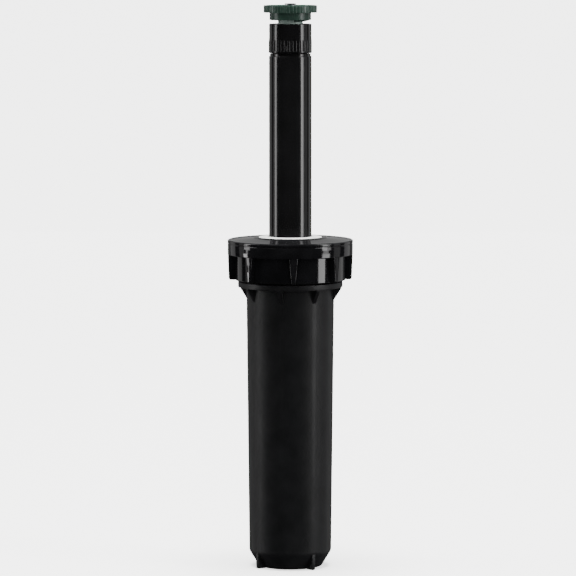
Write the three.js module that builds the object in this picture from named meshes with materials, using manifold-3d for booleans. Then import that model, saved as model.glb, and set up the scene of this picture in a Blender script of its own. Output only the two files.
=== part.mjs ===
// A pop-up spray sprinkler for a buried sprinkler line, standing with its stem fully raised.
// Millimetres, +Z up. The origin is the centre of the face that the case stands on.
// Azimuths are measured from the front (-Y) towards +X, in degrees.

import * as THREE from 'three';
import { mergeVertices } from 'three/addons/utils/BufferGeometryUtils.js';
import Module from 'manifold-3d';

const wasm = await Module();
wasm.setup();

// ---------------------------------------------------------------- driving sizes

const travel = 101.6;              // how far the stem rises
const stemDiameter = 19.4;
const stemWall = 2.1;
const caseWall = 2;
const caseDraft = 0.0102;          // growth of the case's radius for each unit of height
const gripDepth = 3.25;            // how far the cap's ribs stand out of its wall
const capWall = 2.5;
const capHeight = 18.1;
const inletDiameter = 21.34;       // outside diameter of the half-inch pipe that screws in
const inletDepth = 15;
const fit = 0.3;                   // gap between pieces that rest on each other
const runningGap = 0.4;            // gap between pieces that slide or turn on each other
const embed = 0.4;                 // how deep a rib is rooted in its wall
const caseSides = 36;
const stemSides = 32;
const smallSides = 24;

// ---------------------------------------------------------------- radii, from the stem outwards

const stemRadius = stemDiameter / 2;
const stemBore = stemRadius - stemWall;
const fluteHeight = 0.13;          // the nozzle's grip flutes stand this far out of the stem's line
const sealBore = stemRadius + fluteHeight + fit;
const springWire = 1.3;
const springMean = stemRadius + 2.5 + springWire / 2;
const stemFlange = stemRadius + 4.9;
const keyInner = stemFlange + 0.7; // inner face of the guide keys in the case
const keyDepth = 1.5;
const keyWidth = 1.6;
const keyCount = 6;
const keyFirst = 15;               // azimuth of the first key
const caseBoreFoot = keyInner + keyDepth;
const neckStep = 1.4;              // the neck's bore is wider than the case's bore by this

const threadPitch = 3.6;
const threadHeight = 1.2;
const threadGap = 0.35;
const threadLength = 7.2;
const threadLead = 3;              // plain neck below the thread
const threadTurns = threadLength / threadPitch;

const inletRadius = inletDiameter / 2;
const inletThreadHeight = 1.07;
const inletPitch = 1.814;
const inletThreadTurns = 4;
const inletBossWall = 1.9;
const inletBore = inletRadius - inletThreadHeight;
const inletBoss = inletRadius + inletBossWall;
const footRim = 1.83;              // flat ring that the case stands on, outside the inlet's boss
const footRadius = inletBoss + footRim;

// ---------------------------------------------------------------- heights, from the inlet upwards

const checkSealThickness = 1.8;
const stemFlangeThickness = 2.2;
const crownThickness = 1.4;
const ratchetToothHeight = 0.6;
const ratchetRingThickness = 1.6;
const springTurns = 11;
const springPitch = springWire + 0.12; // of the compressed coil
const washerThickness = 1.2;
const sealFlangeThickness = 2.3;
const capPlate = 2.1;
const capCrown = 1.6;              // rise of the cap's top from its rim to its centre hole
const oRingSection = 1.6;

const checkSealBottom = inletDepth + runningGap + travel;
const stemBottom = checkSealBottom + checkSealThickness + fit;
const crownBottom = stemBottom + stemFlangeThickness + fit;
const ratchetRingBottom = crownBottom + crownThickness + 2 * ratchetToothHeight + fit;
const springBottom = ratchetRingBottom + ratchetRingThickness + fit;
const springTop = springBottom + springTurns * springPitch + springWire;
const washerBottom = springTop + fit;
const sealFlangeBottom = washerBottom + washerThickness + fit;
const capUnderside = sealFlangeBottom + sealFlangeThickness + fit;
const capRim = capUnderside + capPlate;
const capFoot = capRim - capHeight;
const bandHeight = 6.8;
const bandFoot = capRim - bandHeight;
const collarGap = 0.6;
const collarThickness = 2.7;
const collarTop = capFoot - collarGap;
const collarFoot = collarTop - collarThickness;
const neckTop = capUnderside - 2 * fit - oRingSection;
const chamferTop = 7.2;

const caseFootRadius = caseBoreFoot + caseWall;
const caseRadius = (z) => caseFootRadius + caseDraft * (z - chamferTop);
const caseBore = (z) => caseRadius(z) - caseWall;
const neckBore = caseBore(collarFoot) + neckStep;
const neckWall = 1.9;
const threadRoot = neckBore + neckWall;
const threadCrest = threadRoot + threadHeight;
const capBore = threadCrest + threadGap;
const capWallRadius = capBore + capWall;
const capRadius = capWallRadius + gripDepth;
const collarLip = 1;
const collarRadius = capBore + collarLip;
const sealFace = 4.5;              // width of the seal's ring that shows in the cap's hole
const capHole = sealBore + sealFace;
const sealRise = 0.2;              // of the seal's lip above the edge of the hole
const sealTop = capRim + capCrown + sealRise;

// ---------------------------------------------------------------- nozzle heights, from its flange down

const nozzleFlangeFoot = sealTop + runningGap + travel;
const collarNeckHeight = 2.7;
const collarNeckFoot = nozzleFlangeFoot - collarNeckHeight;
const collarSkirtHeight = 1.7;
const collarSkirtFoot = collarNeckFoot - collarSkirtHeight;
const sprayGap = 0.9;              // between the nozzle's top and the collar's skirt
const nozzleTop = collarSkirtFoot - sprayGap;
const nozzleHeight = 13.3;
const nozzleFoot = nozzleTop - nozzleHeight;
const grooveHeight = 1.3;          // between the stem's shoulder and the nozzle's foot
const shoulder = nozzleFoot - grooveHeight;
const spigotRadius = stemRadius - 1.4;

// ---------------------------------------------------------------- helpers

const degrees = Math.PI / 180;

// Merges shared corners, drops empty faces and turns the faces outwards.
function closedSolid(geometry) {
  geometry.deleteAttribute('normal');
  geometry.deleteAttribute('uv');
  const place = geometry.getAttribute('position');
  for (let i = 0; i < place.array.length; i += 1) {
    place.array[i] = Math.round(place.array[i] * 1e4) / 1e4;
  }
  const merged = mergeVertices(geometry, 1e-4);
  const index = Array.from(merged.index.array);
  const corner = merged.getAttribute('position');
  const point = (i) => new THREE.Vector3().fromBufferAttribute(corner, i);
  const faces = [];
  let volume = 0;
  for (let i = 0; i < index.length; i += 3) {
    const [a, b, c] = index.slice(i, i + 3);
    if (a !== b && b !== c && c !== a) {
      faces.push([a, b, c]);
      volume += point(a).dot(point(b).cross(point(c)));
    }
  }
  merged.setIndex(faces.flatMap(([a, b, c]) => (volume < 0 ? [a, c, b] : [a, b, c])));
  return merged;
}

function toManifold(geometry) {
  const vertProperties = new Float32Array(geometry.getAttribute('position').array);
  const triVerts = new Uint32Array(geometry.index.array);
  return new wasm.Manifold(new wasm.Mesh({ numProp: 3, vertProperties, triVerts }));
}

function fromManifold(manifold) {
  const mesh = manifold.getMesh();
  const geometry = new THREE.BufferGeometry();
  geometry.setAttribute('position', new THREE.BufferAttribute(mesh.vertProperties, 3));
  geometry.setIndex(new THREE.BufferAttribute(mesh.triVerts, 1));
  return geometry;
}

// Joins all of added to base, then cuts all of removed from it.
function combine(base, added, removed = []) {
  let result = toManifold(base);
  for (const piece of added) {
    result = result.add(toManifold(piece));
  }
  for (const piece of removed) {
    result = result.subtract(toManifold(piece));
  }
  return fromManifold(result);
}

// A ring about Z: the profile is a list of [radius, height] and closes on itself.
function ring(profile, sides = stemSides) {
  const points = [...profile, profile[0]].map(([radius, z]) => new THREE.Vector2(radius, z));
  return closedSolid(new THREE.LatheGeometry(points, sides).rotateX(Math.PI / 2));
}

// An O-ring about Z.
function roundRing(centre, height, radius) {
  const section = around(6, 30).map((azimuth) => onCircle(radius, azimuth));
  return ring(section.map(([x, z]) => [centre + x, height + z]), smallSides);
}

// A solid about Z: the profile starts and ends on the axis.
function spindle(profile, sides = smallSides) {
  const points = profile.map(([radius, z]) => new THREE.Vector2(radius, z));
  return closedSolid(new THREE.LatheGeometry(points, sides).rotateX(Math.PI / 2));
}

// A flat fin standing out from the axis: outline is a list of [radius, height].
function fin(outline, width, azimuth) {
  const shape = new THREE.Shape(outline.map(([radius, z]) => new THREE.Vector2(radius, z)));
  const geometry = new THREE.ExtrudeGeometry(shape, { depth: width, bevelEnabled: false });
  geometry.translate(0, 0, -width / 2);
  geometry.rotateX(Math.PI / 2);
  geometry.rotateZ((azimuth - 90) * degrees);
  return closedSolid(geometry);
}

// A prism along Z from an outline of [x, y].
function prism(outline, low, high) {
  const shape = new THREE.Shape(outline.map(([x, y]) => new THREE.Vector2(x, y)));
  const geometry = new THREE.ExtrudeGeometry(shape, { depth: high - low, bevelEnabled: false });
  return closedSolid(geometry.translate(0, 0, low));
}

const around = (count, first = 0) => Array.from({ length: count }, (_, i) => first + i * 360 / count);

const onCircle = (radius, azimuth) => [radius * Math.sin(azimuth * degrees), -radius * Math.cos(azimuth * degrees)];

// A ring sector between two radii, for cuts that follow the round.
function sector(inner, outer, from, to, low, high) {
  const steps = Math.ceil((to - from) / 15);
  const angles = Array.from({ length: steps + 1 }, (_, i) => from + (to - from) * i / steps);
  const outside = angles.map((azimuth) => onCircle(outer, azimuth));
  const inside = angles.reverse().map((azimuth) => onCircle(inner, azimuth));
  return prism([...outside, ...inside], low, high);
}

// A thread ridge: a section of [radius, height] carried round the axis and up by pitch each turn.
function threadRidge(section, pitch, turns, sides, start) {
  const steps = Math.round(turns * sides);
  const shape = new THREE.Shape(section.map(([radius, z]) => new THREE.Vector2(radius, z)));
  const geometry = new THREE.ExtrudeGeometry(shape, { depth: turns, steps, bevelEnabled: false });
  const place = geometry.getAttribute('position');
  for (let i = 0; i < place.count; i += 1) {
    const turn = place.getZ(i);
    const [x, y] = onCircle(place.getX(i), turn * 360);
    place.setXYZ(i, x, y, start + place.getY(i) + pitch * turn);
  }
  return closedSolid(geometry);
}

// A trapezoid for threadRidge, rooted in its wall. The widths are shares of the pitch.
function ridgeSection(rootRadius, crestRadius, pitch, rootShare, crestShare) {
  const buried = rootRadius + Math.sign(rootRadius - crestRadius) * embed;
  const root = pitch * rootShare / 2;
  const crest = pitch * crestShare / 2;
  return [
    [buried, -root], [rootRadius, -root], [crestRadius, -crest],
    [crestRadius, crest], [rootRadius, root], [buried, root],
  ];
}

// A toothed ring face: small blocks round a circle.
function crownTeeth(count, inner, outer, low, high) {
  const pitchAngle = 360 / count;
  return around(count).map((azimuth) => (
    sector(inner, outer, azimuth - pitchAngle / 4, azimuth + pitchAngle / 4, low, high)
  ));
}

// ---------------------------------------------------------------- case

function bodyCase() {
  const chamferSlope = (caseFootRadius - footRadius) / chamferTop;
  const pocketFloor = 2.4;
  const pocketTop = chamferTop + 1.4;
  const pocketFillet = 0.6;
  const neckChamfer = 0.6;
  const neckStepTop = collarFoot + 1.5;
  const neckStepFoot = collarFoot - 0.5;
  const seatDepth = 3;             // plain bore above the pipe thread
  const seatTaper = 1.2;
  const shell = ring([
    [inletRadius, 0],
    [footRadius, 0],
    [footRadius + chamferSlope * chamferTop, chamferTop],
    [caseRadius(collarFoot), collarFoot],
    [collarRadius, collarFoot],
    [collarRadius, collarTop],
    [threadRoot, collarTop],
    [threadRoot, neckTop - neckChamfer],
    [threadRoot - neckChamfer, neckTop],
    [neckBore, neckTop],
    [neckBore, neckStepTop],
    [caseBore(collarFoot), neckStepFoot],
    [caseBore(pocketTop), pocketTop],
    [inletBoss + 1, pocketFloor],
    [inletBoss, pocketFloor + pocketFillet],
    [inletBoss, inletDepth],
    [inletBore, inletDepth],
    [inletBore, inletDepth - seatDepth],
    [inletRadius, inletDepth - seatDepth - seatTaper],
  ], caseSides);
  const keyFoot = pocketTop + 1;
  const keyLead = 3;               // slope at the foot of a key
  const keyTop = neckStepFoot - 1;
  const keyTopSlope = 2.5;
  const keys = around(keyCount, keyFirst).map((azimuth) => fin([
    [keyInner, keyFoot + keyLead],
    [keyInner + keyDepth, keyFoot],
    [caseBore(pocketTop) + embed, keyFoot],
    [caseBore(collarFoot) + embed, keyTop - 1.5],
    [caseBore(collarFoot), keyTop],
    [keyInner, keyTop - keyTopSlope],
  ], keyWidth, azimuth));
  const gussetDrop = 6.1;
  const gussetInset = 0.1;         // from the collar's edge
  const gussetWidth = 2;
  const gussets = around(8, -12).map((azimuth) => fin([
    [caseRadius(collarFoot) - embed, collarFoot + embed],
    [collarRadius - gussetInset, collarFoot + embed],
    [collarRadius - gussetInset, collarFoot],
    [caseRadius(collarFoot), collarFoot - gussetDrop],
    [caseRadius(collarFoot) - embed, collarFoot - gussetDrop],
  ], gussetWidth, azimuth));
  const lugWidth = 1.9;
  const lugRoot = 1.2;
  const lugs = around(4, 35).map((azimuth) => fin([
    [footRadius - embed, 0],
    [caseFootRadius - 0.2, 0],
    [caseFootRadius - 0.05, chamferTop],
    [caseFootRadius - lugRoot, chamferTop],
    [footRadius - embed, lugRoot],
  ], lugWidth, azimuth));
  const neckThread = threadRidge(
    ridgeSection(threadRoot, threadCrest, threadPitch, 0.6, 0.34),
    threadPitch, threadTurns, caseSides, collarTop + threadLead,
  );
  const inletThread = threadRidge(
    ridgeSection(inletRadius, inletBore, inletPitch, 0.8, 0.2),
    inletPitch, inletThreadTurns, caseSides, inletPitch,
  );
  return combine(shell, [...keys, ...gussets, ...lugs, neckThread, inletThread]);
}

// ---------------------------------------------------------------- cap

function threadedCap() {
  const lip = 1.4;
  const lipRound = 0.8;
  const grooveDepth = 0.15;
  const grooveFoot = capRim - lip - 1.1;
  const edgeBreak = 0.4;
  const ribWidth = 3;
  const ribInset = 0.2;            // of a rib's face from the band's face at its top
  const ribFootInset = 1.1;        // and at its foot
  const shell = ring([
    [capHole, capUnderside],
    [capHole, capRim + capCrown],
    [capRadius - lipRound, capRim],
    [capRadius, capRim - lipRound],
    [capRadius, capRim - lip],
    [capRadius - grooveDepth, capRim - lip - grooveDepth],
    [capRadius - grooveDepth, grooveFoot + grooveDepth],
    [capRadius - 0.05, grooveFoot],
    [capRadius - 0.05, bandFoot],
    [capWallRadius, bandFoot],
    [capWallRadius, capFoot + edgeBreak],
    [capWallRadius - edgeBreak, capFoot],
    [capBore, capFoot],
    [capBore, capUnderside],
  ], caseSides);
  const ribs = around(8, 3).map((azimuth) => fin([
    [capWallRadius - embed, capFoot],
    [capRadius - ribFootInset, capFoot],
    [capRadius - ribFootInset / 2, capFoot + ribFootInset / 2],
    [capRadius - ribInset, bandFoot + embed],
    [capWallRadius - embed, bandFoot + embed],
  ], ribWidth, azimuth));
  // Half a pitch above the case's ridge, so that the two lie in each other's grooves.
  const thread = threadRidge(
    ridgeSection(capBore, threadRoot + threadGap, threadPitch, 0.44, 0.2),
    threadPitch, threadTurns, caseSides, collarTop + threadLead + threadPitch / 2,
  );
  return combine(shell, [...ribs, thread]);
}

// ---------------------------------------------------------------- seal, washer, spring

function wiperSeal() {
  const crest = capRim + capCrown;
  const neck = capHole - runningGap / 2;
  const flange = neckBore - 0.5;
  const lipThickness = 1;          // of the lip that wipes the stem, under the flange
  const lipDrop = 1.4;
  return ring([
    [sealBore, sealFlangeBottom - lipDrop],
    [sealBore + lipThickness, sealFlangeBottom - lipDrop],
    [sealBore + lipThickness + 0.6, sealFlangeBottom],
    [flange, sealFlangeBottom],
    [flange, sealFlangeBottom + sealFlangeThickness],
    [neck, sealFlangeBottom + sealFlangeThickness],
    [neck, crest],
    [sealBore + 0.4, sealTop],
    [sealBore, sealTop - 0.2],
  ]);
}

function springSeatWasher() {
  const bore = sealBore + 2;
  const rim = 3.6;                 // beyond the spring
  const outside = springMean + springWire / 2 + rim;
  return ring([
    [bore, washerBottom], [outside, washerBottom],
    [outside, washerBottom + washerThickness], [bore, washerBottom + washerThickness],
  ], smallSides);
}

class Helix extends THREE.Curve {
  getPoint(t, target = new THREE.Vector3()) {
    const [x, y] = onCircle(springMean, t * springTurns * 360);
    return target.set(x, y, springBottom + springWire / 2 + t * springTurns * springPitch);
  }
}

function retractSpring() {
  const wireSides = 6;
  const stepsPerTurn = 12;
  const section = new THREE.Shape(around(wireSides).map((azimuth) => (
    new THREE.Vector2(...onCircle(springWire / 2, azimuth))
  )));
  const options = { steps: springTurns * stepsPerTurn, extrudePath: new Helix(), bevelEnabled: false };
  return closedSolid(new THREE.ExtrudeGeometry(section, options));
}

function capORing() {
  const centre = (neckBore + threadRoot) / 2;
  const height = neckTop + fit + oRingSection / 2;
  return roundRing(centre, height, oRingSection / 2);
}

// ---------------------------------------------------------------- ratchet

const ratchetTeeth = 18;
const crownBore = stemRadius + fit;
const crownOutside = stemFlange - 0.2;
const toothInner = crownBore + 1;
const toothOuter = crownOutside - 0.6;

function ratchetRing() {
  const outside = caseBoreFoot - 0.4;
  const bottom = ratchetRingBottom;
  const body = ring([
    [stemRadius + runningGap, bottom],
    [outside, bottom],
    [outside, bottom + ratchetRingThickness],
    [stemRadius + runningGap, bottom + ratchetRingThickness],
  ], smallSides);
  const teeth = crownTeeth(
    ratchetTeeth, toothInner, toothOuter, bottom - ratchetToothHeight, bottom + embed,
  );
  const notchFoot = bottom - ratchetToothHeight - 1;
  const notchTop = bottom + ratchetRingThickness + 1;
  const notches = around(keyCount, keyFirst).map((azimuth) => fin([
    [keyInner - runningGap, notchFoot],
    [outside + 1, notchFoot],
    [outside + 1, notchTop],
    [keyInner - runningGap, notchTop],
  ], keyWidth + 2 * runningGap, azimuth));
  return combine(body, teeth, notches);
}

function ratchetCrown() {
  const top = crownBottom + crownThickness;
  const body = ring([
    [crownBore, crownBottom], [crownOutside, crownBottom], [crownOutside, top], [crownBore, top],
  ], smallSides);
  const teeth = crownTeeth(
    ratchetTeeth, toothInner, toothOuter, top - embed, top + ratchetToothHeight,
  );
  return combine(body, teeth);
}

// ---------------------------------------------------------------- stem

const grooveRadius = stemRadius - 0.45;
const shoulderBreak = 0.2;
const spigotHeight = 8;
const spigotTop = shoulder + spigotHeight;
const spigotWall = 1.4;
const spigotBore = spigotRadius - spigotWall;
const spigotBreak = 0.4;
const retainerBore = stemBore - 1;
const retainerRise = 5;            // of the retainer's hub above the stem's foot

function riserStem() {
  const flangeTop = stemBottom + stemFlangeThickness;
  const boreTop = shoulder - 1.5;
  const boreFoot = stemBottom + retainerRise + 4;
  return ring([
    [retainerBore, stemBottom],
    [stemFlange, stemBottom],
    [stemFlange, flangeTop],
    [stemRadius, flangeTop],
    [stemRadius, shoulder - shoulderBreak],
    [stemRadius - shoulderBreak, shoulder],
    [grooveRadius, shoulder],
    [grooveRadius, nozzleFoot - fit],
    [spigotRadius, nozzleFoot - fit],
    [spigotRadius, spigotTop - spigotBreak],
    [spigotRadius - spigotBreak, spigotTop],
    [spigotBore, spigotTop],
    [spigotBore, boreTop + 1],
    [stemBore, boreTop],
    [stemBore, boreFoot],
    [retainerBore, boreFoot - 1],
  ]);
}

function checkSeal() {
  const outside = inletBoss - 0.2;
  const inside = retainerBore + 0.1;
  const top = checkSealBottom + checkSealThickness;
  return ring([
    [inside, checkSealBottom], [outside, checkSealBottom], [outside, top], [inside, top],
  ], smallSides);
}

function checkSealRetainer() {
  const hub = retainerBore - fit;
  const flange = inletBore - 0.8;
  const flangeThickness = 1;
  const wall = 1.6;
  const bottom = checkSealBottom - fit - flangeThickness;
  const top = stemBottom + retainerRise;
  const flow = hub - wall;
  return ring([
    [flow, bottom], [flange, bottom], [flange, bottom + flangeThickness], [hub, bottom + flangeThickness],
    [hub, top], [flow, top],
  ], smallSides);
}

// ---------------------------------------------------------------- nozzle base, filter and core

const nozzleRadius = stemRadius - 0.05;
const fluteBandHeight = 5.8;
const spigotSocket = spigotRadius + fit;
const filterFlange = 1;
const filterFlangeBottom = spigotTop + fit;
const coreFlangeBottom = filterFlangeBottom + filterFlange + fit;
const coreFlange = 1;
const nozzleCeiling = coreFlangeBottom + coreFlange + fit;
const coreRadius = 5.65;
const coreBore = coreRadius - 1.3;
const coreHubHeight = 1.6;
const coreRise = 2;                // above the nozzle's top, into the collar
const coreTop = nozzleTop + coreRise;
const seatDrop = 9.5;              // from the filter's flange down to its seat
const seatThickness = 1;
const screwTipDrop = 4;            // from the filter's flange down to the screw's tip
const screwRadius = 1.35;
const screwStroke = 1.75;

function nozzleBase() {
  const hole = coreRadius + fit;
  const edgeBreak = 0.4;
  const fluteFoot = nozzleFoot + 0.6;
  const fluteTop = nozzleFoot + fluteBandHeight;
  const fluteWidth = 1.2;
  const shell = ring([
    [spigotSocket, nozzleFoot],
    [nozzleRadius - edgeBreak, nozzleFoot],
    [nozzleRadius, nozzleFoot + edgeBreak],
    [nozzleRadius, nozzleTop - edgeBreak],
    [nozzleRadius - edgeBreak, nozzleTop],
    [hole, nozzleTop],
    [hole, nozzleCeiling],
    [spigotSocket, nozzleCeiling],
  ]);
  const flutes = around(24, 7.5).map((azimuth) => fin([
    [nozzleRadius - embed, fluteFoot],
    [stemRadius + fluteHeight, fluteFoot],
    [stemRadius + fluteHeight, fluteTop - edgeBreak],
    [nozzleRadius - embed, fluteTop],
  ], fluteWidth, azimuth));
  return combine(shell, flutes);
}

// A basket that hangs in the stem, with tall windows and a seat that the throttle plug closes.
function filterScreen() {
  const outside = spigotBore - 0.6;
  const wall = 0.7;
  const inside = outside - wall;
  const length = 30;
  const bottom = filterFlangeBottom - length;
  const floor = 1;
  const seat = filterFlangeBottom - seatDrop;
  const orifice = 2.2;
  const flange = spigotSocket - runningGap;
  const body = spindle([
    [0, bottom], [outside, bottom], [outside, filterFlangeBottom], [flange, filterFlangeBottom],
    [flange, filterFlangeBottom + filterFlange], [inside, filterFlangeBottom + filterFlange],
    [inside, seat + seatThickness], [orifice, seat + seatThickness], [orifice, seat],
    [inside, seat], [inside, bottom + floor], [0, bottom + floor],
  ]);
  const rowHeight = 4.6;
  const rowGap = 1;
  const rows = 3;
  const windowWidth = 4.2;
  const windows = [];
  for (let row = 0; row < rows; row += 1) {
    const low = bottom + floor + 0.6 + row * (rowHeight + rowGap);
    for (const azimuth of around(4, 45)) {
      windows.push(fin([
        [inside - 1, low], [outside + 1, low], [outside + 1, low + rowHeight], [inside - 1, low + rowHeight],
      ], windowWidth, azimuth));
    }
  }
  return combine(body, [], windows);
}

// The pale insert whose top edge shows under the collar, with a three-legged web for the screw.
function nozzleCore() {
  const bottom = coreFlangeBottom;
  const hubRadius = 2.6;
  const legHeight = 1.4;
  const legWidth = 1.2;
  const tube = ring([
    [coreBore, bottom],
    [spigotSocket - runningGap, bottom],
    [spigotSocket - runningGap, bottom + coreFlange],
    [coreRadius, bottom + coreFlange],
    [coreRadius, coreTop],
    [coreBore, coreTop],
  ], smallSides);
  const hub = ring([
    [screwRadius + fit, bottom], [hubRadius, bottom],
    [hubRadius, bottom + coreHubHeight], [screwRadius + fit, bottom + coreHubHeight],
  ], smallSides);
  const legs = around(3, 60).map((azimuth) => fin([
    [hubRadius - embed, bottom], [coreBore + embed, bottom],
    [coreBore + embed, bottom + legHeight], [hubRadius - embed, bottom + legHeight],
  ], legWidth, azimuth));
  return combine(tube, [hub, ...legs]);
}

// ---------------------------------------------------------------- arc collar and screw

const collarNeck = stemRadius - 0.25;
const nozzleFlangeThickness = 3.4;
const nozzleFlangeTop = nozzleFlangeFoot + nozzleFlangeThickness;
const nozzleFlangeRadius = stemRadius + 2.45;
const screwHead = 2.6;
const screwHeadHeight = 1.2;
const screwHeadRise = 0.5;         // of the head above the collar's top
const screwHeadTop = nozzleFlangeTop + screwHeadRise;
const screwRingSection = 1;        // of the O-ring that lies under the head when the screw is right down
const screwWellFloor = screwHeadTop - screwHeadHeight - screwStroke - screwRingSection - 2 * fit;
const postRadius = coreBore - 0.8;
const postFoot = coreFlangeBottom + coreHubHeight + fit;

function arcCollar() {
  const recess = coreRadius + fit;
  const recessTop = coreTop + fit;
  const screwHole = screwRadius + fit;
  const well = screwHead + fit;
  const knurlDepth = 0.3;
  const knurlWidth = 0.9;
  const knurlFoot = nozzleFlangeFoot + 0.2;
  const rimRound = 0.5;
  const knurlTop = nozzleFlangeTop - rimRound - 0.2;
  const body = ring([
    [screwHole, postFoot],
    [postRadius, postFoot],
    [postRadius, recessTop],
    [recess, recessTop],
    [recess, collarSkirtFoot],
    [recess + 0.3, collarSkirtFoot],
    [collarNeck, collarNeckFoot],
    [collarNeck, nozzleFlangeFoot],
    [nozzleFlangeRadius - knurlDepth, nozzleFlangeFoot],
    [nozzleFlangeRadius - knurlDepth, nozzleFlangeTop - rimRound],
    [nozzleFlangeRadius - knurlDepth - rimRound, nozzleFlangeTop],
    [well, nozzleFlangeTop],
    [well, screwWellFloor],
    [screwHole, screwWellFloor],
  ]);
  const knurls = around(32).map((azimuth) => fin([
    [nozzleFlangeRadius - knurlDepth - embed, knurlFoot],
    [nozzleFlangeRadius, knurlFoot],
    [nozzleFlangeRadius, knurlTop],
    [nozzleFlangeRadius - knurlDepth - embed, knurlTop],
  ], knurlWidth, azimuth));
  // The spray leaves where the skirt is cut back, over half a turn to the left of the step.
  const stepAzimuth = 15;
  const sprayArc = 180;
  const slot = sector(
    postRadius + 0.3, collarNeck + 1, stepAzimuth - sprayArc, stepAzimuth,
    collarSkirtFoot - 1, collarSkirtFoot + 0.9,
  );
  return combine(body, knurls, [slot]);
}

function radiusScrew() {
  const headBottom = screwHeadTop - screwHeadHeight;
  const tip = filterFlangeBottom - screwTipDrop;
  const edgeBreak = 0.3;
  const body = spindle([
    [0, tip], [screwRadius, tip], [screwRadius, headBottom], [screwHead, headBottom],
    [screwHead, screwHeadTop - edgeBreak], [screwHead - edgeBreak, screwHeadTop], [0, screwHeadTop],
  ]);
  const slotWidth = 0.8;
  const slotDepth = 0.7;
  const slot = prism([
    [-screwHead - 1, -slotWidth / 2], [screwHead + 1, -slotWidth / 2],
    [screwHead + 1, slotWidth / 2], [-screwHead - 1, slotWidth / 2],
  ], screwHeadTop - slotDepth, screwHeadTop + 1);
  return combine(body, [], [slot]);
}

function throttlePlug() {
  const tip = filterFlangeBottom - screwTipDrop;
  const seatTop = filterFlangeBottom - seatDrop + seatThickness;
  const socket = screwRadius + fit;
  const socketDepth = 2;
  const top = tip + socketDepth;
  const noseRadius = 1.2;
  const outside = 3;
  const taper = 1.4;
  const nose = seatTop + screwStroke + 0.5;
  return spindle([
    [0, nose], [noseRadius, nose], [outside, nose + taper], [outside, top],
    [socket, top], [socket, tip - fit], [0, tip - fit],
  ]);
}

function screwORing() {
  const section = screwRingSection / 2;
  const centre = screwRadius + fit + section;
  const height = screwWellFloor + fit + section;
  return roundRing(centre, height, section);
}

// ---------------------------------------------------------------- finishes

const finish = (color, roughness, metalness = 0) => (
  () => new THREE.MeshStandardMaterial({ color, roughness, metalness })
);
const blackCase = finish(0x1b1b1d, 0.5);
const blackStem = finish(0x151516, 0.28);
const paleSeal = finish(0xe9e9e6, 0.55);
const greenNozzle = finish(0x1f3a2c, 0.4);
const paleInsert = finish(0xb9cbc4, 0.45);
const acetal = finish(0xd8d6cc, 0.5);
const darkRubber = finish(0x1a1a1a, 0.85);
const stainless = finish(0xb8babd, 0.25, 1);

// ---------------------------------------------------------------- assembly

const pieces = {
  body_case: [bodyCase(), blackCase],
  cap: [threadedCap(), blackCase],
  cap_o_ring: [capORing(), darkRubber],
  wiper_seal: [wiperSeal(), paleSeal],
  spring_seat_washer: [springSeatWasher(), acetal],
  retract_spring: [retractSpring(), stainless],
  ratchet_ring: [ratchetRing(), acetal],
  ratchet_crown: [ratchetCrown(), acetal],
  riser_stem: [riserStem(), blackStem],
  check_seal: [checkSeal(), darkRubber],
  check_seal_retainer: [checkSealRetainer(), acetal],
  nozzle_base: [nozzleBase(), blackStem],
  filter_screen: [filterScreen(), acetal],
  nozzle_core: [nozzleCore(), paleInsert],
  arc_collar: [arcCollar(), greenNozzle],
  radius_screw: [radiusScrew(), stainless],
  screw_o_ring: [screwORing(), darkRubber],
  throttle_plug: [throttlePlug(), acetal],
};

const sprinkler = new THREE.Group();
for (const [name, [geometry, material]] of Object.entries(pieces)) {
  const mesh = new THREE.Mesh(geometry, material());
  mesh.name = name;
  sprinkler.add(mesh);
}

export default sprinkler;
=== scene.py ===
import math

import bmesh
import bpy
from mathutils import Matrix, Vector


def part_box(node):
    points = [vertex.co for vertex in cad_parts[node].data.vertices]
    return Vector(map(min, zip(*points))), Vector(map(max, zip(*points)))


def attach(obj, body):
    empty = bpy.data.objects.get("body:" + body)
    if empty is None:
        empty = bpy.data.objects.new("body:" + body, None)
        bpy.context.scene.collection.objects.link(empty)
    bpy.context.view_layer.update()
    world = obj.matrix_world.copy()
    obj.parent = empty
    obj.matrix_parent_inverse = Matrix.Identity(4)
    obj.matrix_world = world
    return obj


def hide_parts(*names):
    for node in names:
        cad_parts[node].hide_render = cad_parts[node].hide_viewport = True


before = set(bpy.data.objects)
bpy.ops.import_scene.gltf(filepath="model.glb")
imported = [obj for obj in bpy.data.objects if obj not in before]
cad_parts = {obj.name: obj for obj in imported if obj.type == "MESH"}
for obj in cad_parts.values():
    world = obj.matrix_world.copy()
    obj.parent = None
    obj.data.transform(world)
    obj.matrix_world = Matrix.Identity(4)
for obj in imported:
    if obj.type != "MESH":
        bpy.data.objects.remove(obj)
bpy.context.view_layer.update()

# Pop-up sprinkler, stem fully raised.
# Lengths in the dictionaries are millimetres. Azimuths are degrees from the front (-Y) towards +X.

mm = 0.001
weld = 1e-6      # metres, for merging doubles
embed = 0.4      # how far a joined body reaches into its neighbour

# fillets that many edges share
crisp = 0.15
slight = 0.2
plain = 0.3
soft = 0.4
broad = 0.5


def topOf(node):
    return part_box(node)[1].z / mm


def footOf(node):
    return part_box(node)[0].z / mm


def middleOf(node):
    return (topOf(node) + footOf(node)) / 2


def radiusOf(node):
    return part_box(node)[1].x / mm


def onAzimuth(radius, azimuth, z=0):
    angle = math.radians(azimuth)
    return Vector((radius * math.sin(angle), -radius * math.cos(angle), z)) * mm


def around(count, first=0):
    return [first + i * 360 / count for i in range(count)]


# camera, floor and light

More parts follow.
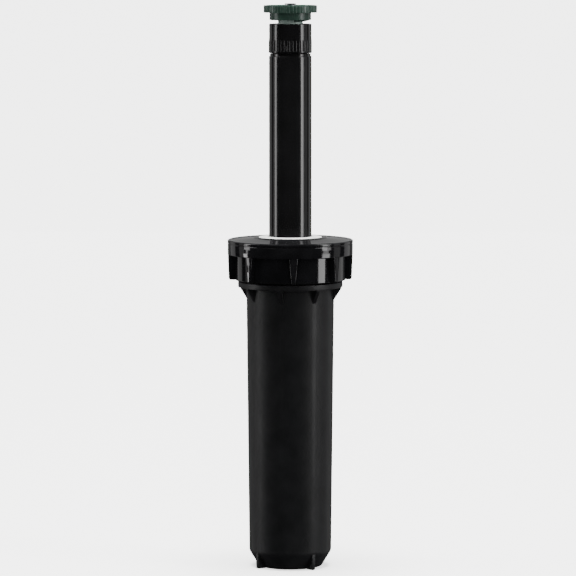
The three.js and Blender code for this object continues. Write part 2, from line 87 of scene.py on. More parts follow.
studio = {
    "lens": 244,
    "distance": 1775,
    "aim": (-1.05, 0, 127.8),
    "eyeHeight": 297,
    "clipEnd": 60000,
    "floorRadius": 30000,
    "floorSegments": 96,
    "floorRoughness": 0.9,
    "floorSpecular": 0.1,
    "floorColor": (0.86, 0.86, 0.855, 1),
    "floorGlow": 1.7,
    "skyStrength": 3.6,
    "sunStrength": 12,
    "sunSpread": 36,
    "sunTilt": 0,
    "bounceStrength": 2.0,
    "bounceSpread": 140,
    "bounceTilt": 180,
}

softBoxes = {
    # azimuth, distance, height, height that it faces, width, tall, radiance, whether gloss reflects it
    "leftStrip": (-86, 900, 730, 730, 215, 1280, 4.6, True),
    "leftCap": (-86, 900, 50, 50, 58, 80, 4.0, True),
    "leftLow": (-90.5, 900, -65, -65, 150, 150, 8.5, True),
    "leftSide": (-100, 900, 300, 300, 220, 1600, 0.4, True),
    "leftBack": (-131, 900, 300, 300, 330, 1600, 0.5, True),
    "rightStrip": (65.5, 900, 730, 730, 170, 1280, 7.4, True),
    "rightStripSide": (75, 900, 730, 730, 125, 1280, 3.4, True),
    "rightCap": (68, 900, 50, 50, 180, 80, 3.2, True),
    "rightLow": (69, 900, -65, -65, 260, 150, 6.2, True),
    "rightSide": (95, 900, 300, 300, 270, 1600, 0.46, True),
    "rightBack": (129, 900, 300, 300, 380, 1600, 0.62, True),
    "backPanel": (180, 1900, 700, 700, 1300, 2000, 0.32, True),
    "leftRear": (-155, 1900, 500, 500, 900, 2400, 0.12, True),
    "rightRear": (155, 1900, 500, 500, 900, 2400, 0.12, True),
    "topLeft": (-60, 500, 1150, 150, 600, 600, 0.8, True),
    "frontFill": (0, 1500, 700, 700, 1500, 1500, 2.2, False),
}


def setCamera():
    data = bpy.data.cameras.new("mainCamera")
    data.lens = studio["lens"]
    data.clip_end = studio["clipEnd"] * mm
    camera = bpy.data.objects.new("mainCamera", data)
    aim = Vector(studio["aim"]) * mm
    eye = Vector((studio["aim"][0], -studio["distance"], studio["eyeHeight"])) * mm
    camera.location = eye
    camera.rotation_euler = (aim - eye).to_track_quat("-Z", "Y").to_euler()
    bpy.context.scene.collection.objects.link(camera)
    bpy.context.scene.camera = camera


def setFloor():
    bm = bmesh.new()
    bmesh.ops.create_circle(bm, cap_ends=True, segments=studio["floorSegments"],
                            radius=studio["floorRadius"] * mm)
    mesh = bpy.data.meshes.new("floor")
    bm.to_mesh(mesh)
    bm.free()
    floor = bpy.data.objects.new("floor", mesh)
    bpy.context.scene.collection.objects.link(floor)
    paint = bpy.data.materials.new("paleFloor")
    paint.use_nodes = True
    shader = paint.node_tree.nodes["Principled BSDF"]
    shader.inputs["Base Color"].default_value = studio["floorColor"]
    shader.inputs["Roughness"].default_value = studio["floorRoughness"]
    shader.inputs["Specular IOR Level"].default_value = studio["floorSpecular"]
    shader.inputs["Emission Color"].default_value = studio["floorColor"]
    shader.inputs["Emission Strength"].default_value = studio["floorGlow"]
    mesh.materials.append(paint)
    floor.visible_diffuse = False
    floor.visible_glossy = False
    floor.visible_shadow = False


def setSky():
    world = bpy.data.worlds.new("paleSky")
    world.use_nodes = True
    sky = world.node_tree.nodes["Background"]
    sky.inputs["Color"].default_value = (1, 1, 1, 1)
    sky.inputs["Strength"].default_value = studio["skyStrength"]
    world.cycles_visibility.diffuse = False
    world.cycles_visibility.glossy = False
    bpy.context.scene.world = world


def setLights():
    for name, (azimuth, distance, height, facing, width, tall, radiance, glossy) in softBoxes.items():
        data = bpy.data.lights.new(name, "AREA")
        data.shape = "RECTANGLE"
        data.size = width * mm
        data.size_y = tall * mm
        data.energy = radiance * math.pi * data.size * data.size_y
        light = bpy.data.objects.new(name, data)
        light.location = onAzimuth(distance, azimuth, height)
        target = Vector((0, 0, facing * mm))
        light.rotation_euler = (target - light.location).to_track_quat("-Z", "Y").to_euler()
        light.visible_camera = False
        light.visible_glossy = glossy
        bpy.context.scene.collection.objects.link(light)
    suns = {
        "overhead": (studio["sunStrength"], studio["sunSpread"], studio["sunTilt"]),
        "bounce": (studio["bounceStrength"], studio["bounceSpread"], studio["bounceTilt"]),
    }
    for name, (strength, spread, tilt) in suns.items():
        data = bpy.data.lights.new(name, "SUN")
        data.energy = strength
        data.angle = math.radians(spread)
        light = bpy.data.objects.new(name, data)
        light.rotation_euler = (math.radians(tilt), 0, 0)
        light.visible_glossy = False
        bpy.context.scene.collection.objects.link(light)


setCamera()
setFloor()
setSky()
setLights()
print("camera, floor and light ready")


# materials: moulded plastics, rubber and steel, all on Object coordinates

usualShine = 0.5                     # specular level of the plastics
softShine = {"blackCase": 0.34}      # where it differs
noiseRange = (0.3, 0.7)              # the part of a noise's range that is used
steelGrain = 0.002

plastics = {
    # color, darker color, mottle size, roughness low and high, grain size, grain depth, streak depth (mm)
    "blackCase": ((0.0090, 0.0090, 0.0098), (0.0055, 0.0055, 0.0060), 9, (0.40, 0.48), 0.55, 0.008, 0.008),
    "blackCap": ((0.0080, 0.0080, 0.0088), (0.0050, 0.0050, 0.0055), 7, (0.06, 0.10), 0.5, 0.004, 0.003),
    "blackStem": ((0.0070, 0.0070, 0.0074), (0.0050, 0.0050, 0.0052), 12, (0.11, 0.17), 0.4, 0.002, 0.003),
    "greenPlastic": ((0.021, 0.046, 0.034), (0.015, 0.034, 0.025), 4, (0.25, 0.34), 0.35, 0.004, 0.002),
    "paleGreen": ((0.32, 0.415, 0.375), (0.26, 0.345, 0.31), 3, (0.35, 0.45), 0.3, 0.004, 0.002),
    "whiteSeal": ((0.90, 0.90, 0.88), (0.83, 0.83, 0.81), 5, (0.45, 0.6), 0.35, 0.006, 0.0),
    "acetal": ((0.76, 0.75, 0.69), (0.68, 0.665, 0.60), 6, (0.38, 0.5), 0.4, 0.006, 0.006),
    "rubber": ((0.016, 0.016, 0.0165), (0.010, 0.010, 0.0105), 4, (0.68, 0.85), 0.25, 0.02, 0.0),
}

steels = {
    # color, darker color, roughness low and high, drawing line size
    "springWire": ((0.62, 0.62, 0.63), (0.50, 0.50, 0.51), (0.20, 0.36), 0.25),
    "screwSteel": ((0.60, 0.60, 0.61), (0.46, 0.46, 0.47), (0.24, 0.42), 0.18),
}


class Nodes:
    # wires one material's node tree

    def __init__(self, name):
        self.material = bpy.data.materials.new(name)
        self.material.use_nodes = True
        self.tree = self.material.node_tree
        self.shader = self.tree.nodes["Principled BSDF"]
        self.place = self.add("ShaderNodeTexCoord").outputs["Object"]

    def add(self, kind):
        return self.tree.nodes.new(kind)

    def link(self, source, target):
        self.tree.links.new(source, target)

    def noise(self, size, detail=3, stretch=(1, 1, 1)):
        mapping = self.add("ShaderNodeMapping")
        mapping.inputs["Scale"].default_value = [s / (size * mm) for s in stretch]
        self.link(self.place, mapping.inputs["Vector"])
        noise = self.add("ShaderNodeTexNoise")
        noise.inputs["Scale"].default_value = 1
        noise.inputs["Detail"].default_value = detail
        self.link(mapping.outputs["Vector"], noise.inputs["Vector"])
        return noise.outputs["Fac"]

    def spread(self, value, low, high):
        spread = self.add("ShaderNodeMapRange")
        spread.inputs["From Min"].default_value = noiseRange[0]
        spread.inputs["From Max"].default_value = noiseRange[1]
        spread.inputs["To Min"].default_value = low
        spread.inputs["To Max"].default_value = high
        self.link(value, spread.inputs["Value"])
        return spread.outputs["Result"]

    def mix(self, value, first, second):
        mix = self.add("ShaderNodeMix")
        mix.data_type = "RGBA"
        mix.inputs["A"].default_value = (*first, 1)
        mix.inputs["B"].default_value = (*second, 1)
        self.link(value, mix.inputs["Factor"])
        return mix.outputs["Result"]

    def bump(self, height, depth, normal=None):
        bump = self.add("ShaderNodeBump")
        bump.inputs["Strength"].default_value = 1
        bump.inputs["Distance"].default_value = depth * mm
        self.link(height, bump.inputs["Height"])
        if normal:
            self.link(normal, bump.inputs["Normal"])
        return bump.outputs["Normal"]

    def finish(self, color, roughness, normal):
        self.link(color, self.shader.inputs["Base Color"])
        self.link(roughness, self.shader.inputs["Roughness"])
        self.link(normal, self.shader.inputs["Normal"])
        return self.material


def moulded(name):
    color, dark, mottle, (smooth, rough), grain, grainDepth, streakDepth = plastics[name]
    nodes = Nodes(name)
    cloud = nodes.spread(nodes.noise(mottle), 0, 1)
    tone = nodes.mix(cloud, dark, color)
    polish = nodes.spread(nodes.noise(mottle * 0.6, 4, (1, 1, 0.35)), smooth, rough)
    normal = nodes.bump(nodes.noise(grain, 2), grainDepth)
    if streakDepth:
        normal = nodes.bump(nodes.noise(1.6, 2, (1, 1, 0.02)), streakDepth, normal)
    nodes.shader.inputs["Specular IOR Level"].default_value = softShine.get(name, usualShine)
    return nodes.finish(tone, polish, normal)


def drawnSteel(name):
    color, dark, (smooth, rough), line = steels[name]
    nodes = Nodes(name)
    tone = nodes.mix(nodes.spread(nodes.noise(3), 0, 1), dark, color)
    polish = nodes.spread(nodes.noise(line, 3, (1, 1, 4)), smooth, rough)
    normal = nodes.bump(nodes.noise(line, 2, (1, 1, 4)), steelGrain)
    nodes.shader.inputs["Metallic"].default_value = 1
    return nodes.finish(tone, polish, normal)


finishes = {name: moulded(name) for name in plastics}
finishes.update({name: drawnSteel(name) for name in steels})
print("materials ready:", len(finishes))


# shaping tools

modelling = {
    "roundSteps": 144,      # around the large parts
    "smallSteps": 72,
    "threadSteps": 96,      # for each turn of a thread
    "filletSteps": 4,
    "grooveSteps": 14,
    "grooveRound": 0.98,    # share of a groove cutter's half width that its ends are rounded by
    "springSides": 14,
    "ringSides": 20,
    "screwThreadSteps": 36,
    "smoothAngle": 32,
}


def newProfile(bm, outline, closed=True):
    # outline: (radius, height) or (radius, height, fillet), in the XZ plane
    verts = [bm.verts.new(Vector((point[0], 0, point[1])) * mm) for point in outline]
    pairs = list(zip(verts, verts[1:]))
    if closed:
        pairs.append((verts[-1], verts[0]))
    for first, second in pairs:
        bm.edges.new((first, second))
    fillets = {}
    for vert, point in zip(verts, outline):
        if len(point) > 2:
            fillets.setdefault(point[2], []).append(vert)
    for fillet, corners in fillets.items():
        bmesh.ops.bevel(bm, geom=corners, offset=fillet * mm, offset_type="OFFSET", affect="VERTICES",
                        segments=modelling["filletSteps"], profile=0.5, material=-1)
    return bm.verts[:] + bm.edges[:]


def cleaned(bm):
    bmesh.ops.remove_doubles(bm, verts=bm.verts, dist=weld)
    bmesh.ops.dissolve_degenerate(bm, dist=weld / 10, edges=bm.edges)
    bmesh.ops.recalc_face_normals(bm, faces=bm.faces)
    return bm


def turned(outline, closed=True, steps=None):
    # a body turned about Z; an open outline starts and ends on the axis
    bm = bmesh.new()
    geom = newProfile(bm, outline, closed)
    bmesh.ops.spin(bm, geom=geom, cent=(0, 0, 0), axis=(0, 0, 1), dvec=(0, 0, 0), angle=math.tau,
                   steps=steps or modelling["roundSteps"], use_merge=True)
    return cleaned(bm)


def wound(outline, pitch, turns, steps, start=0):
    # a ridge or wire carried round Z and up by pitch each turn, closed at both ends
    bm = bmesh.new()
    geom = newProfile(bm, outline)
    bmesh.ops.rotate(bm, verts=bm.verts, matrix=Matrix.Rotation(math.radians(start - 90), 3, "Z"))
    count = round(turns * steps)
    bmesh.ops.spin(bm, geom=geom, cent=(0, 0, 0), axis=(0, 0, 1), angle=math.tau * turns, steps=count,
                   dvec=Vector((0, 0, pitch * turns / count)) * mm)
    rims = [edge for edge in bm.edges if edge.is_boundary]
    bmesh.ops.holes_fill(bm, edges=rims, sides=0)
    return cleaned(bm)


def plate(outline, width, azimuth=0, endWidth=None):
    # a flat blade standing out from the axis; endWidth narrows it towards its foot
    bm = bmesh.new()
    verts = [bm.verts.new(Vector((radius, -width / 2, z)) * mm) for radius, z in outline]
    face = bm.faces.new(verts)
    grown = bmesh.ops.extrude_face_region(bm, geom=[face])
    moved = [item for item in grown["geom"] if isinstance(item, bmesh.types.BMVert)]
    bmesh.ops.translate(bm, verts=moved, vec=Vector((0, width, 0)) * mm)
    if endWidth:
        heights = [vert.co.z for vert in bm.verts]
        low, high = min(heights), max(heights)
        for vert in bm.verts:
            share = (vert.co.z - low) / (high - low)
            vert.co.y *= (endWidth + (width - endWidth) * share) / width
    bmesh.ops.rotate(bm, verts=bm.verts, matrix=Matrix.Rotation(math.radians(azimuth - 90), 3, "Z"))
    return cleaned(bm)


def groove(width, depth, surface, azimuth, low, high):
    # a round-ended cutter that leaves an upright groove of this depth in a turned surface
    half = width / 2
    tip = half * modelling["grooveRound"]
    bm = turned([(0, low), (half, low, tip), (half, high, tip), (0, high)], closed=False,
                steps=modelling["grooveSteps"])
    bmesh.ops.translate(bm, verts=bm.verts, vec=onAzimuth(surface + half - depth, azimuth))
    return bm


def wireSection(centre, height, radius, points):
    return [(centre + radius * math.cos(math.tau * i / points),
             height + radius * math.sin(math.tau * i / points)) for i in range(points)]


def softened(bm, offset, angle=20, segments=2):
    sharp = [edge for edge in bm.edges if edge.is_manifold and edge.calc_face_angle() > math.radians(angle)]
    bmesh.ops.bevel(bm, geom=sharp, offset=offset * mm, offset_type="OFFSET", affect="EDGES",
                    segments=segments, profile=0.5, material=-1, clamp_overlap=True)
    return bm


def objectFrom(bm, name):
    mesh = bpy.data.meshes.new(name)
    bm.to_mesh(mesh)
    bm.free()
    item = bpy.data.objects.new(name, mesh)
    bpy.context.scene.collection.objects.link(item)
    return item


def shaped(name, base, added=(), removed=()):
    # joins and cuts closed bodies, and leaves one clean mesh
    item = objectFrom(base, name)
    helpers = []
    for operation, bodies in (("UNION", added), ("DIFFERENCE", removed)):
        for body in bodies:
            helper = objectFrom(body, name + "Tool")
            helpers.append(helper)
            modifier = item.modifiers.new(operation, "BOOLEAN")
            modifier.operation = operation
            modifier.solver = "MANIFOLD"
            modifier.object = helper
    if helpers:
        graph = bpy.context.evaluated_depsgraph_get()
        mesh = bpy.data.meshes.new_from_object(item.evaluated_get(graph))
        item.modifiers.clear()
        item.data = mesh
        for helper in helpers:
            bpy.data.objects.remove(helper)
        bm = bmesh.new()
        bm.from_mesh(mesh)
        bmesh.ops.remove_doubles(bm, verts=bm.verts, dist=weld)
        bmesh.ops.dissolve_degenerate(bm, dist=weld, edges=bm.edges)
        bm.to_mesh(mesh)
        bm.free()
    return item


def fitted(item, finish, body, node):
    # smooths, paints and puts a finished piece in its node's place
    item.data.materials.clear()
    item.data.materials.append(finishes[finish])
    item.data.shade_smooth()
    item.data.set_sharp_from_angle(angle=math.radians(modelling["smoothAngle"]))
    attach(item, body)
    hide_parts(node)


# case: tapered shell, threaded neck, collar with gussets, chamfered foot with lugs, inlet socket

case = {
    "footRadius": 14.4,
    "chamferTop": 7.2,
    "shoulderRadius": 18.8,
    "draft": 0.0102,
    "draftFrom": 7.2,
    "wall": 2,
    "collarThickness": 2.7,
    "collarGap": 0.6,
    "neckRadius": 21.33,
    "neckBore": 19.43,
    "threadCrest": 22.53,
    "threadPitch": 3.6,
    "threadLength": 7.2,
    "threadLead": 3,
    "gussets": 8,
    "gussetFirst": -12,
    "gussetDrop": 6.1,
    "gussetWidth": 2,
    "lugs": 4,
    "lugFirst": 35,
    "lugWidth": 1.9,
    "keys": 6,
    "keyFirst": 15,
    "keyWidth": 1.6,
    "keyInner": 15.3,
    "inletRadius": 10.67,
    "inletBore": 9.6,
    "inletBoss": 12.57,
    "inletDepth": 15,
    "inletPitch": 1.814,
    "inletTurns": 4,
    "inletSeat": 3,             # from the socket's end down to where its bore widens
    "inletSeatFoot": 4.2,
    "pocketFloor": 2.4,
    "pocketRise": 1.6,
    "pocketCorner": 1,
    "pocketStep": 0.6,
    "neckStep": 1.5,
    "neckStepDrop": 0.5,
    "gussetInset": 0.25,
    "gussetLip": 0.3,
    "gussetRootDrop": 0.4,
    "lugFootInset": 0.4,
    "lugTopInset": 0.1,
    "lugTopWidth": 1.2,
    "lugRise": 1,
    "keyTaper": 3,              # from a key's foot up to its full depth
    "keyFootRise": 1,
    "keyFootOut": 1.5,
    "keyTopDrop": 3,
    "keyTipDrop": 1.5,
    "keyInnerDrop": 4,
    "threadRoot": 0.3,          # shares of the pitch, from the middle of a ridge
    "threadTip": 0.17,
}


def caseRadius(z):
    return case["shoulderRadius"] + case["draft"] * (z - case["draftFrom"])


def makeCase():
    collarTop = footOf("cap") - case["collarGap"]
    collarFoot = collarTop - case["collarThickness"]
    neckTop = topOf("body_case")
    collarRadius = radiusOf("body_case")
    chamfer = case["chamferTop"]
    pocketTop = chamfer + case["pocketRise"]
    bore = caseRadius(pocketTop) - case["wall"]
    shell = turned([
        (case["inletRadius"], 0, 0.25),
        (case["footRadius"], 0, broad),
        (caseRadius(chamfer), chamfer, 0.9),
        (caseRadius(collarFoot), collarFoot, broad),
        (collarRadius, collarFoot, 0.35),
        (collarRadius, collarTop, 0.35),
        (case["neckRadius"], collarTop, plain),
        (case["neckRadius"], neckTop, 0.6),
        (case["neckBore"], neckTop, plain),
        (case["neckBore"], collarFoot + case["neckStep"], broad),
        (caseRadius(collarFoot) - case["wall"], collarFoot - case["neckStepDrop"], broad),
        (bore, pocketTop, 0.8),
        (case["inletBoss"] + case["pocketCorner"], case["pocketFloor"], plain),
        (case["inletBoss"], case["pocketFloor"] + case["pocketStep"], plain),
        (case["inletBoss"], case["inletDepth"], soft),
        (case["inletBore"], case["inletDepth"], soft),
        (case["inletBore"], case["inletDepth"] - case["inletSeat"]),
        (case["inletRadius"], case["inletDepth"] - case["inletSeatFoot"]),
    ])
    gussetTop = caseRadius(collarFoot)
    gussetTip = collarRadius - case["gussetInset"]
    gussets = [softened(plate([
        (gussetTop - embed, collarFoot + embed),
        (gussetTip, collarFoot + embed),
        (gussetTip, collarFoot - case["gussetLip"]),
        (caseRadius(collarFoot - case["gussetDrop"]), collarFoot - case["gussetDrop"]),
        (gussetTop - embed, collarFoot - case["gussetDrop"] - case["gussetRootDrop"]),
    ], case["gussetWidth"], azimuth), slight) for azimuth in around(case["gussets"], case["gussetFirst"])]
    lugs = [softened(plate([
        (case["footRadius"] - embed, 0),
        (case["shoulderRadius"] - case["lugFootInset"], 0),
        (case["shoulderRadius"] - case["lugTopInset"], chamfer),
        (case["shoulderRadius"] - case["lugTopWidth"], chamfer),
        (case["footRadius"] - embed, case["lugRise"]),
    ], case["lugWidth"], azimuth), slight) for azimuth in around(case["lugs"], case["lugFirst"])]
    keyFoot = pocketTop + case["keyFootRise"]
    keyTop = caseRadius(collarFoot) - case["wall"]
    keys = [plate([
        (case["keyInner"], keyFoot + case["keyTaper"]),
        (case["keyInner"] + case["keyFootOut"], keyFoot),
        (bore + embed, keyFoot),
        (keyTop + embed, collarFoot - case["keyTopDrop"]),
        (keyTop, collarFoot - case["keyTipDrop"]),
        (case["keyInner"], collarFoot - case["keyInnerDrop"]),
    ], case["keyWidth"], azimuth) for azimuth in around(case["keys"], case["keyFirst"])]
    threadStart = collarTop + case["threadLead"]
    pitch = case["threadPitch"]
    ridge = case["threadRoot"] * pitch
    tip = case["threadTip"] * pitch
    neckThread = wound([
        (case["neckRadius"] - embed, threadStart - ridge),
        (case["neckRadius"], threadStart - ridge),
        (case["threadCrest"], threadStart - tip, crisp),
        (case["threadCrest"], threadStart + tip, crisp),
        (case["neckRadius"], threadStart + ridge),
        (case["neckRadius"] - embed, threadStart + ridge),
    ], pitch, case["threadLength"] / pitch, modelling["threadSteps"])
    fine = case["inletPitch"]
    inletThread = wound([
        (case["inletRadius"] + embed, 0.6 * fine),
        (case["inletRadius"], 0.6 * fine),
        (case["inletBore"], 0.9 * fine),
        (case["inletBore"], 1.1 * fine),
        (case["inletRadius"], 1.4 * fine),
        (case["inletRadius"] + embed, 1.4 * fine),
    ], fine, case["inletTurns"], modelling["threadSteps"])
    item = shaped("caseShell", shell, gussets + lugs + keys + [neckThread, inletThread])
    fitted(item, "blackCase", "case", "body_case")


makeCase()
print("case ready")


# cap: crowned top, lip with a groove under it, band, eight tapered grip ribs, inside thread

cap = {
    "rimDrop": 1.3,         # from the centre hole's edge down to the rim
    "plate": 2.1,
    "wallRadius": 25.38,
    "bore": 22.88,
    "hole": 14.63,
    "bandHeight": 6.8,
    "lip": 1.4,
    "groove": 0.15,
    "ribs": 8,
    "ribFirst": 3,
    "ribWidth": 3.9,
    "ribFootWidth": 1.9,
    "threadCrest": 21.68,
    "threadRoot": 0.22,     # shares of the pitch
    "threadTip": 0.1,
    "grooveTop": 0.15,      # the groove's edges below the lip
    "grooveFoot": 0.45,
    "grooveEnd": 0.6,
    "bandInset": 0.05,
    "holeLip": 1.6,
    "holeLipDrop": 0.15,
    "crownStep": 2.2,
    "crownStepDrop": 0.6,
    "rimInset": 2.4,
    "rimInsetDrop": 0.25,
    "rimInner": 1.7,
    "rimOuter": 0.4,
    "wallDraft": 0.1,
    "ribFootInset": 1.1,
    "ribCornerInset": 0.55,
    "ribCorner": 0.5,
    "ribTopInset": 0.15,
    "ribRound": 0.75,
}


def makeCap():
    crown = topOf("cap")
    rim = crown - cap["rimDrop"]
    foot = footOf("cap")
    radius = radiusOf("cap")
    bandFoot = rim - cap["bandHeight"]
    underside = rim - cap["plate"]
    lip = rim - cap["lip"]
    shell = turned([
        (cap["hole"], underside, slight),
        (cap["hole"], crown, plain),
        (cap["hole"] + cap["holeLip"], crown - cap["holeLipDrop"], soft),
        (cap["hole"] + cap["crownStep"], crown - cap["crownStepDrop"], soft),
        (radius - cap["rimInset"], rim - cap["rimInsetDrop"], soft),
        (radius - cap["rimInner"], rim, plain),
        (radius - cap["rimOuter"], rim, slight),
        (radius, rim - cap["rimOuter"], slight),
        (radius, lip, slight),
        (radius - cap["groove"], lip - cap["grooveTop"], 0.05),
        (radius - cap["groove"], lip - cap["grooveFoot"], 0.05),
        (radius - cap["bandInset"], lip - cap["grooveEnd"], 0.08),
        (radius - cap["bandInset"], bandFoot, 0.35),
        (cap["wallRadius"], bandFoot, plain),
        (cap["wallRadius"] - cap["wallDraft"], foot, soft),
        (cap["bore"], foot, plain),
        (cap["bore"], underside, soft),
    ])
    ribOutline = [
        (cap["wallRadius"] - embed, foot),
        (radius - cap["ribFootInset"], foot),
        (radius - cap["ribCornerInset"], foot + cap["ribCorner"]),
        (radius - cap["ribTopInset"], bandFoot + embed),
        (cap["wallRadius"] - embed, bandFoot + embed),
    ]
    ribs = [softened(plate(ribOutline, cap["ribWidth"], azimuth, cap["ribFootWidth"]),
                     cap["ribRound"], segments=3) for azimuth in around(cap["ribs"], cap["ribFirst"])]
    pitch = case["threadPitch"]
    start = foot - case["collarGap"] + case["threadLead"] + pitch / 2
    ridge = cap["threadRoot"] * pitch
    tip = cap["threadTip"] * pitch
    thread = wound([
        (cap["bore"] + embed, start - ridge),
        (cap["bore"], start - ridge),
        (cap["threadCrest"], start - tip),
        (cap["threadCrest"], start + tip),
        (cap["bore"], start + ridge),
        (cap["bore"] + embed, start + ridge),
    ], pitch, case["threadLength"] / pitch, modelling["threadSteps"])
    item = shaped("screwCap", shell, ribs + [thread])
    fitted(item, "blackCap", "screw_cap", "cap")


makeCap()
print("cap ready")


# seal, washer, spring and O-ring, which stay with the cap

seal = {
    "bore": 10.13,
    "neckRadius": 14.43,
    "flangeRadius": 18.93,
    "flangeThickness": 2.3,
    "lipDrop": 1.4,
    "crownDrop": 0.3,
    "lipWidth": 1,
    "lipRoot": 1.6,
    "crownInner": 1.7,
    "crownRise": 0.1,
    "lipTop": 1.1,
}


def makeSeal():
    top = topOf("wiper_seal")
    foot = footOf("wiper_seal") + seal["lipDrop"]
    flangeTop = foot + seal["flangeThickness"]
    crown = top - seal["crownDrop"]
    bm = turned([
        (seal["bore"], foot - seal["lipDrop"], slight),
        (seal["bore"] + seal["lipWidth"], foot - seal["lipDrop"], plain),
        (seal["bore"] + seal["lipRoot"], foot, plain),
        (seal["flangeRadius"], foot, plain),
        (seal["flangeRadius"], flangeTop, plain),
        (seal["neckRadius"], flangeTop, slight),
        (seal["neckRadius"], crown, 0.35),
        (seal["bore"] + seal["crownInner"], crown + seal["crownRise"], plain),
        (seal["bore"] + seal["lipTop"], top, 0.25),
        (seal["bore"], top, 0.25),
    ])
    fitted(objectFrom(bm, "wiperSealRing"), "whiteSeal", "seal_unit", "wiper_seal")


washer = {
    "bore": 12.13,
    "thickness": 1.2,
}


def makeWasher():
    low = footOf("spring_seat_washer")
    outside = radiusOf("spring_seat_washer")
    high = low + washer["thickness"]
    bm = turned([
        (washer["bore"], low, slight),
        (outside, low, plain),
        (outside, high, plain),
        (washer["bore"], high, slight),
    ])
    fitted(objectFrom(bm, "springSeat"), "acetal", "seal_unit", "spring_seat_washer")


spring = {
    "wire": 1.3,
    "meanRadius": 12.85,
    "turns": 11,
    "pitch": 1.42,
}


def makeSpring():
    radius = spring["wire"] / 2
    section = wireSection(spring["meanRadius"], footOf("retract_spring") + radius, radius,
                          modelling["springSides"])
    bm = wound(section, spring["pitch"], spring["turns"], modelling["smallSteps"])
    fitted(objectFrom(bm, "coilSpring"), "springWire", "seal_unit", "retract_spring")


ringThickness = {
    "cap_o_ring": 1.6,
    "screw_o_ring": 1,
}


def oRing(node, centre, height, thickness, name, body):
    section = wireSection(centre, height, thickness / 2, modelling["ringSides"])
    bm = turned(section, steps=modelling["smallSteps"])
    fitted(objectFrom(bm, name), "rubber", body, node)


makeSeal()
makeWasher()
makeSpring()
oRing("cap_o_ring", (case["neckBore"] + case["neckRadius"]) / 2, middleOf("cap_o_ring"),
      ringThickness["cap_o_ring"], "capRing", "seal_unit")
print("seal, washer, spring and cap ring ready")


# stem: glossy tube, flange at its foot, spigot at its top, check seal and its retainer

stem = {
    "radius": 9.7,
    "wall": 2.1,
    "flangeThickness": 2.2,
    "retainerBore": 6.6,
    "shoulderRadius": 0.35,
    "grooveDepth": 0.45,
    "grooveHeight": 1.3,
    "spigotRadius": 8.3,
    "spigotWall": 1.4,
    "fit": 0.3,
    "spigotBoreDrop": 0.5,  # where the bore widens under the spigot
    "boreDrop": 1.5,
    "boreFoot": 9,
    "retainerSeat": 8,
}


def makeStem():
    foot = footOf("riser_stem")
    flange = radiusOf("riser_stem")
    top = topOf("riser_stem")
    nozzleFoot = footOf("nozzle_base")
    shoulder = nozzleFoot - stem["grooveHeight"]
    bore = stem["radius"] - stem["wall"]
    spigotBore = stem["spigotRadius"] - stem["spigotWall"]
    waist = stem["radius"] - stem["grooveDepth"]
    bm = turned([
        (stem["retainerBore"], foot, slight),
        (flange, foot, plain),
        (flange, foot + stem["flangeThickness"], plain),
        (stem["radius"], foot + stem["flangeThickness"], plain),
        (stem["radius"], shoulder, stem["shoulderRadius"]),
        (waist, shoulder, crisp),
        (waist, nozzleFoot - stem["fit"]),
        (stem["spigotRadius"], nozzleFoot - stem["fit"], slight),
        (stem["spigotRadius"], top, soft),
        (spigotBore, top, slight),
        (spigotBore, shoulder - stem["spigotBoreDrop"], slight),
        (bore, shoulder - stem["boreDrop"], slight),
        (bore, foot + stem["boreFoot"], slight),
        (stem["retainerBore"], foot + stem["retainerSeat"], slight),
    ])
    fitted(objectFrom(bm, "stemTube"), "blackStem", "stem", "riser_stem")


checkSeal = {
    "inside": 6.7,
    "outside": 12.37,
    "lipHeight": 0.35,
    "lipInner": 1.8,
    "lipWidth": 1.2,
}


def makeCheckSeal():
    low = footOf("check_seal")
    high = topOf("check_seal")
    bm = turned([
        (checkSeal["inside"], low + checkSeal["lipHeight"], slight),
        (checkSeal["outside"] - checkSeal["lipInner"], low + checkSeal["lipHeight"], slight),
        (checkSeal["outside"] - checkSeal["lipWidth"], low, slight),
        (checkSeal["outside"], low, 0.35),
        (checkSeal["outside"], high, plain),
        (checkSeal["inside"], high, slight),
    ])
    fitted(objectFrom(bm, "inletSeal"), "rubber", "stem", "check_seal")


retainer = {
    "hub": 6.3,
    "flow": 4.7,
    "flange": 8.8,
    "flangeThickness": 1,
}


def makeRetainer():
    low = footOf("check_seal_retainer")
    high = topOf("check_seal_retainer")
    bm = turned([
        (retainer["flow"], low, plain),
        (retainer["flange"], low, 0.35),
        (retainer["flange"], low + retainer["flangeThickness"], slight),
        (retainer["hub"], low + retainer["flangeThickness"], slight),
        (retainer["hub"], high, soft),
        (retainer["flow"], high, slight),
    ])
    fitted(objectFrom(bm, "sealBush"), "acetal", "stem", "check_seal_retainer")


makeStem()
makeCheckSeal()
makeRetainer()
print("stem, check seal and retainer ready")


# nozzle base: plain upper part, grip band of fine flutes with arched ends

nozzle = {
    "radius": 9.65,
    "bandRadius": 9.83,
    "bandHeight": 5.9,
    "flutes": 40,
    "fluteWidth": 1.05,
    "fluteDepth": 0.24,
    "socket": 8.6,
    "hole": 5.95,
    "ceilingRise": 2.9,     # above the stem's spigot
    "bandTaper": 0.9,
    "fluteFoot": 0.7,
    "fluteOver": 0.3,
}


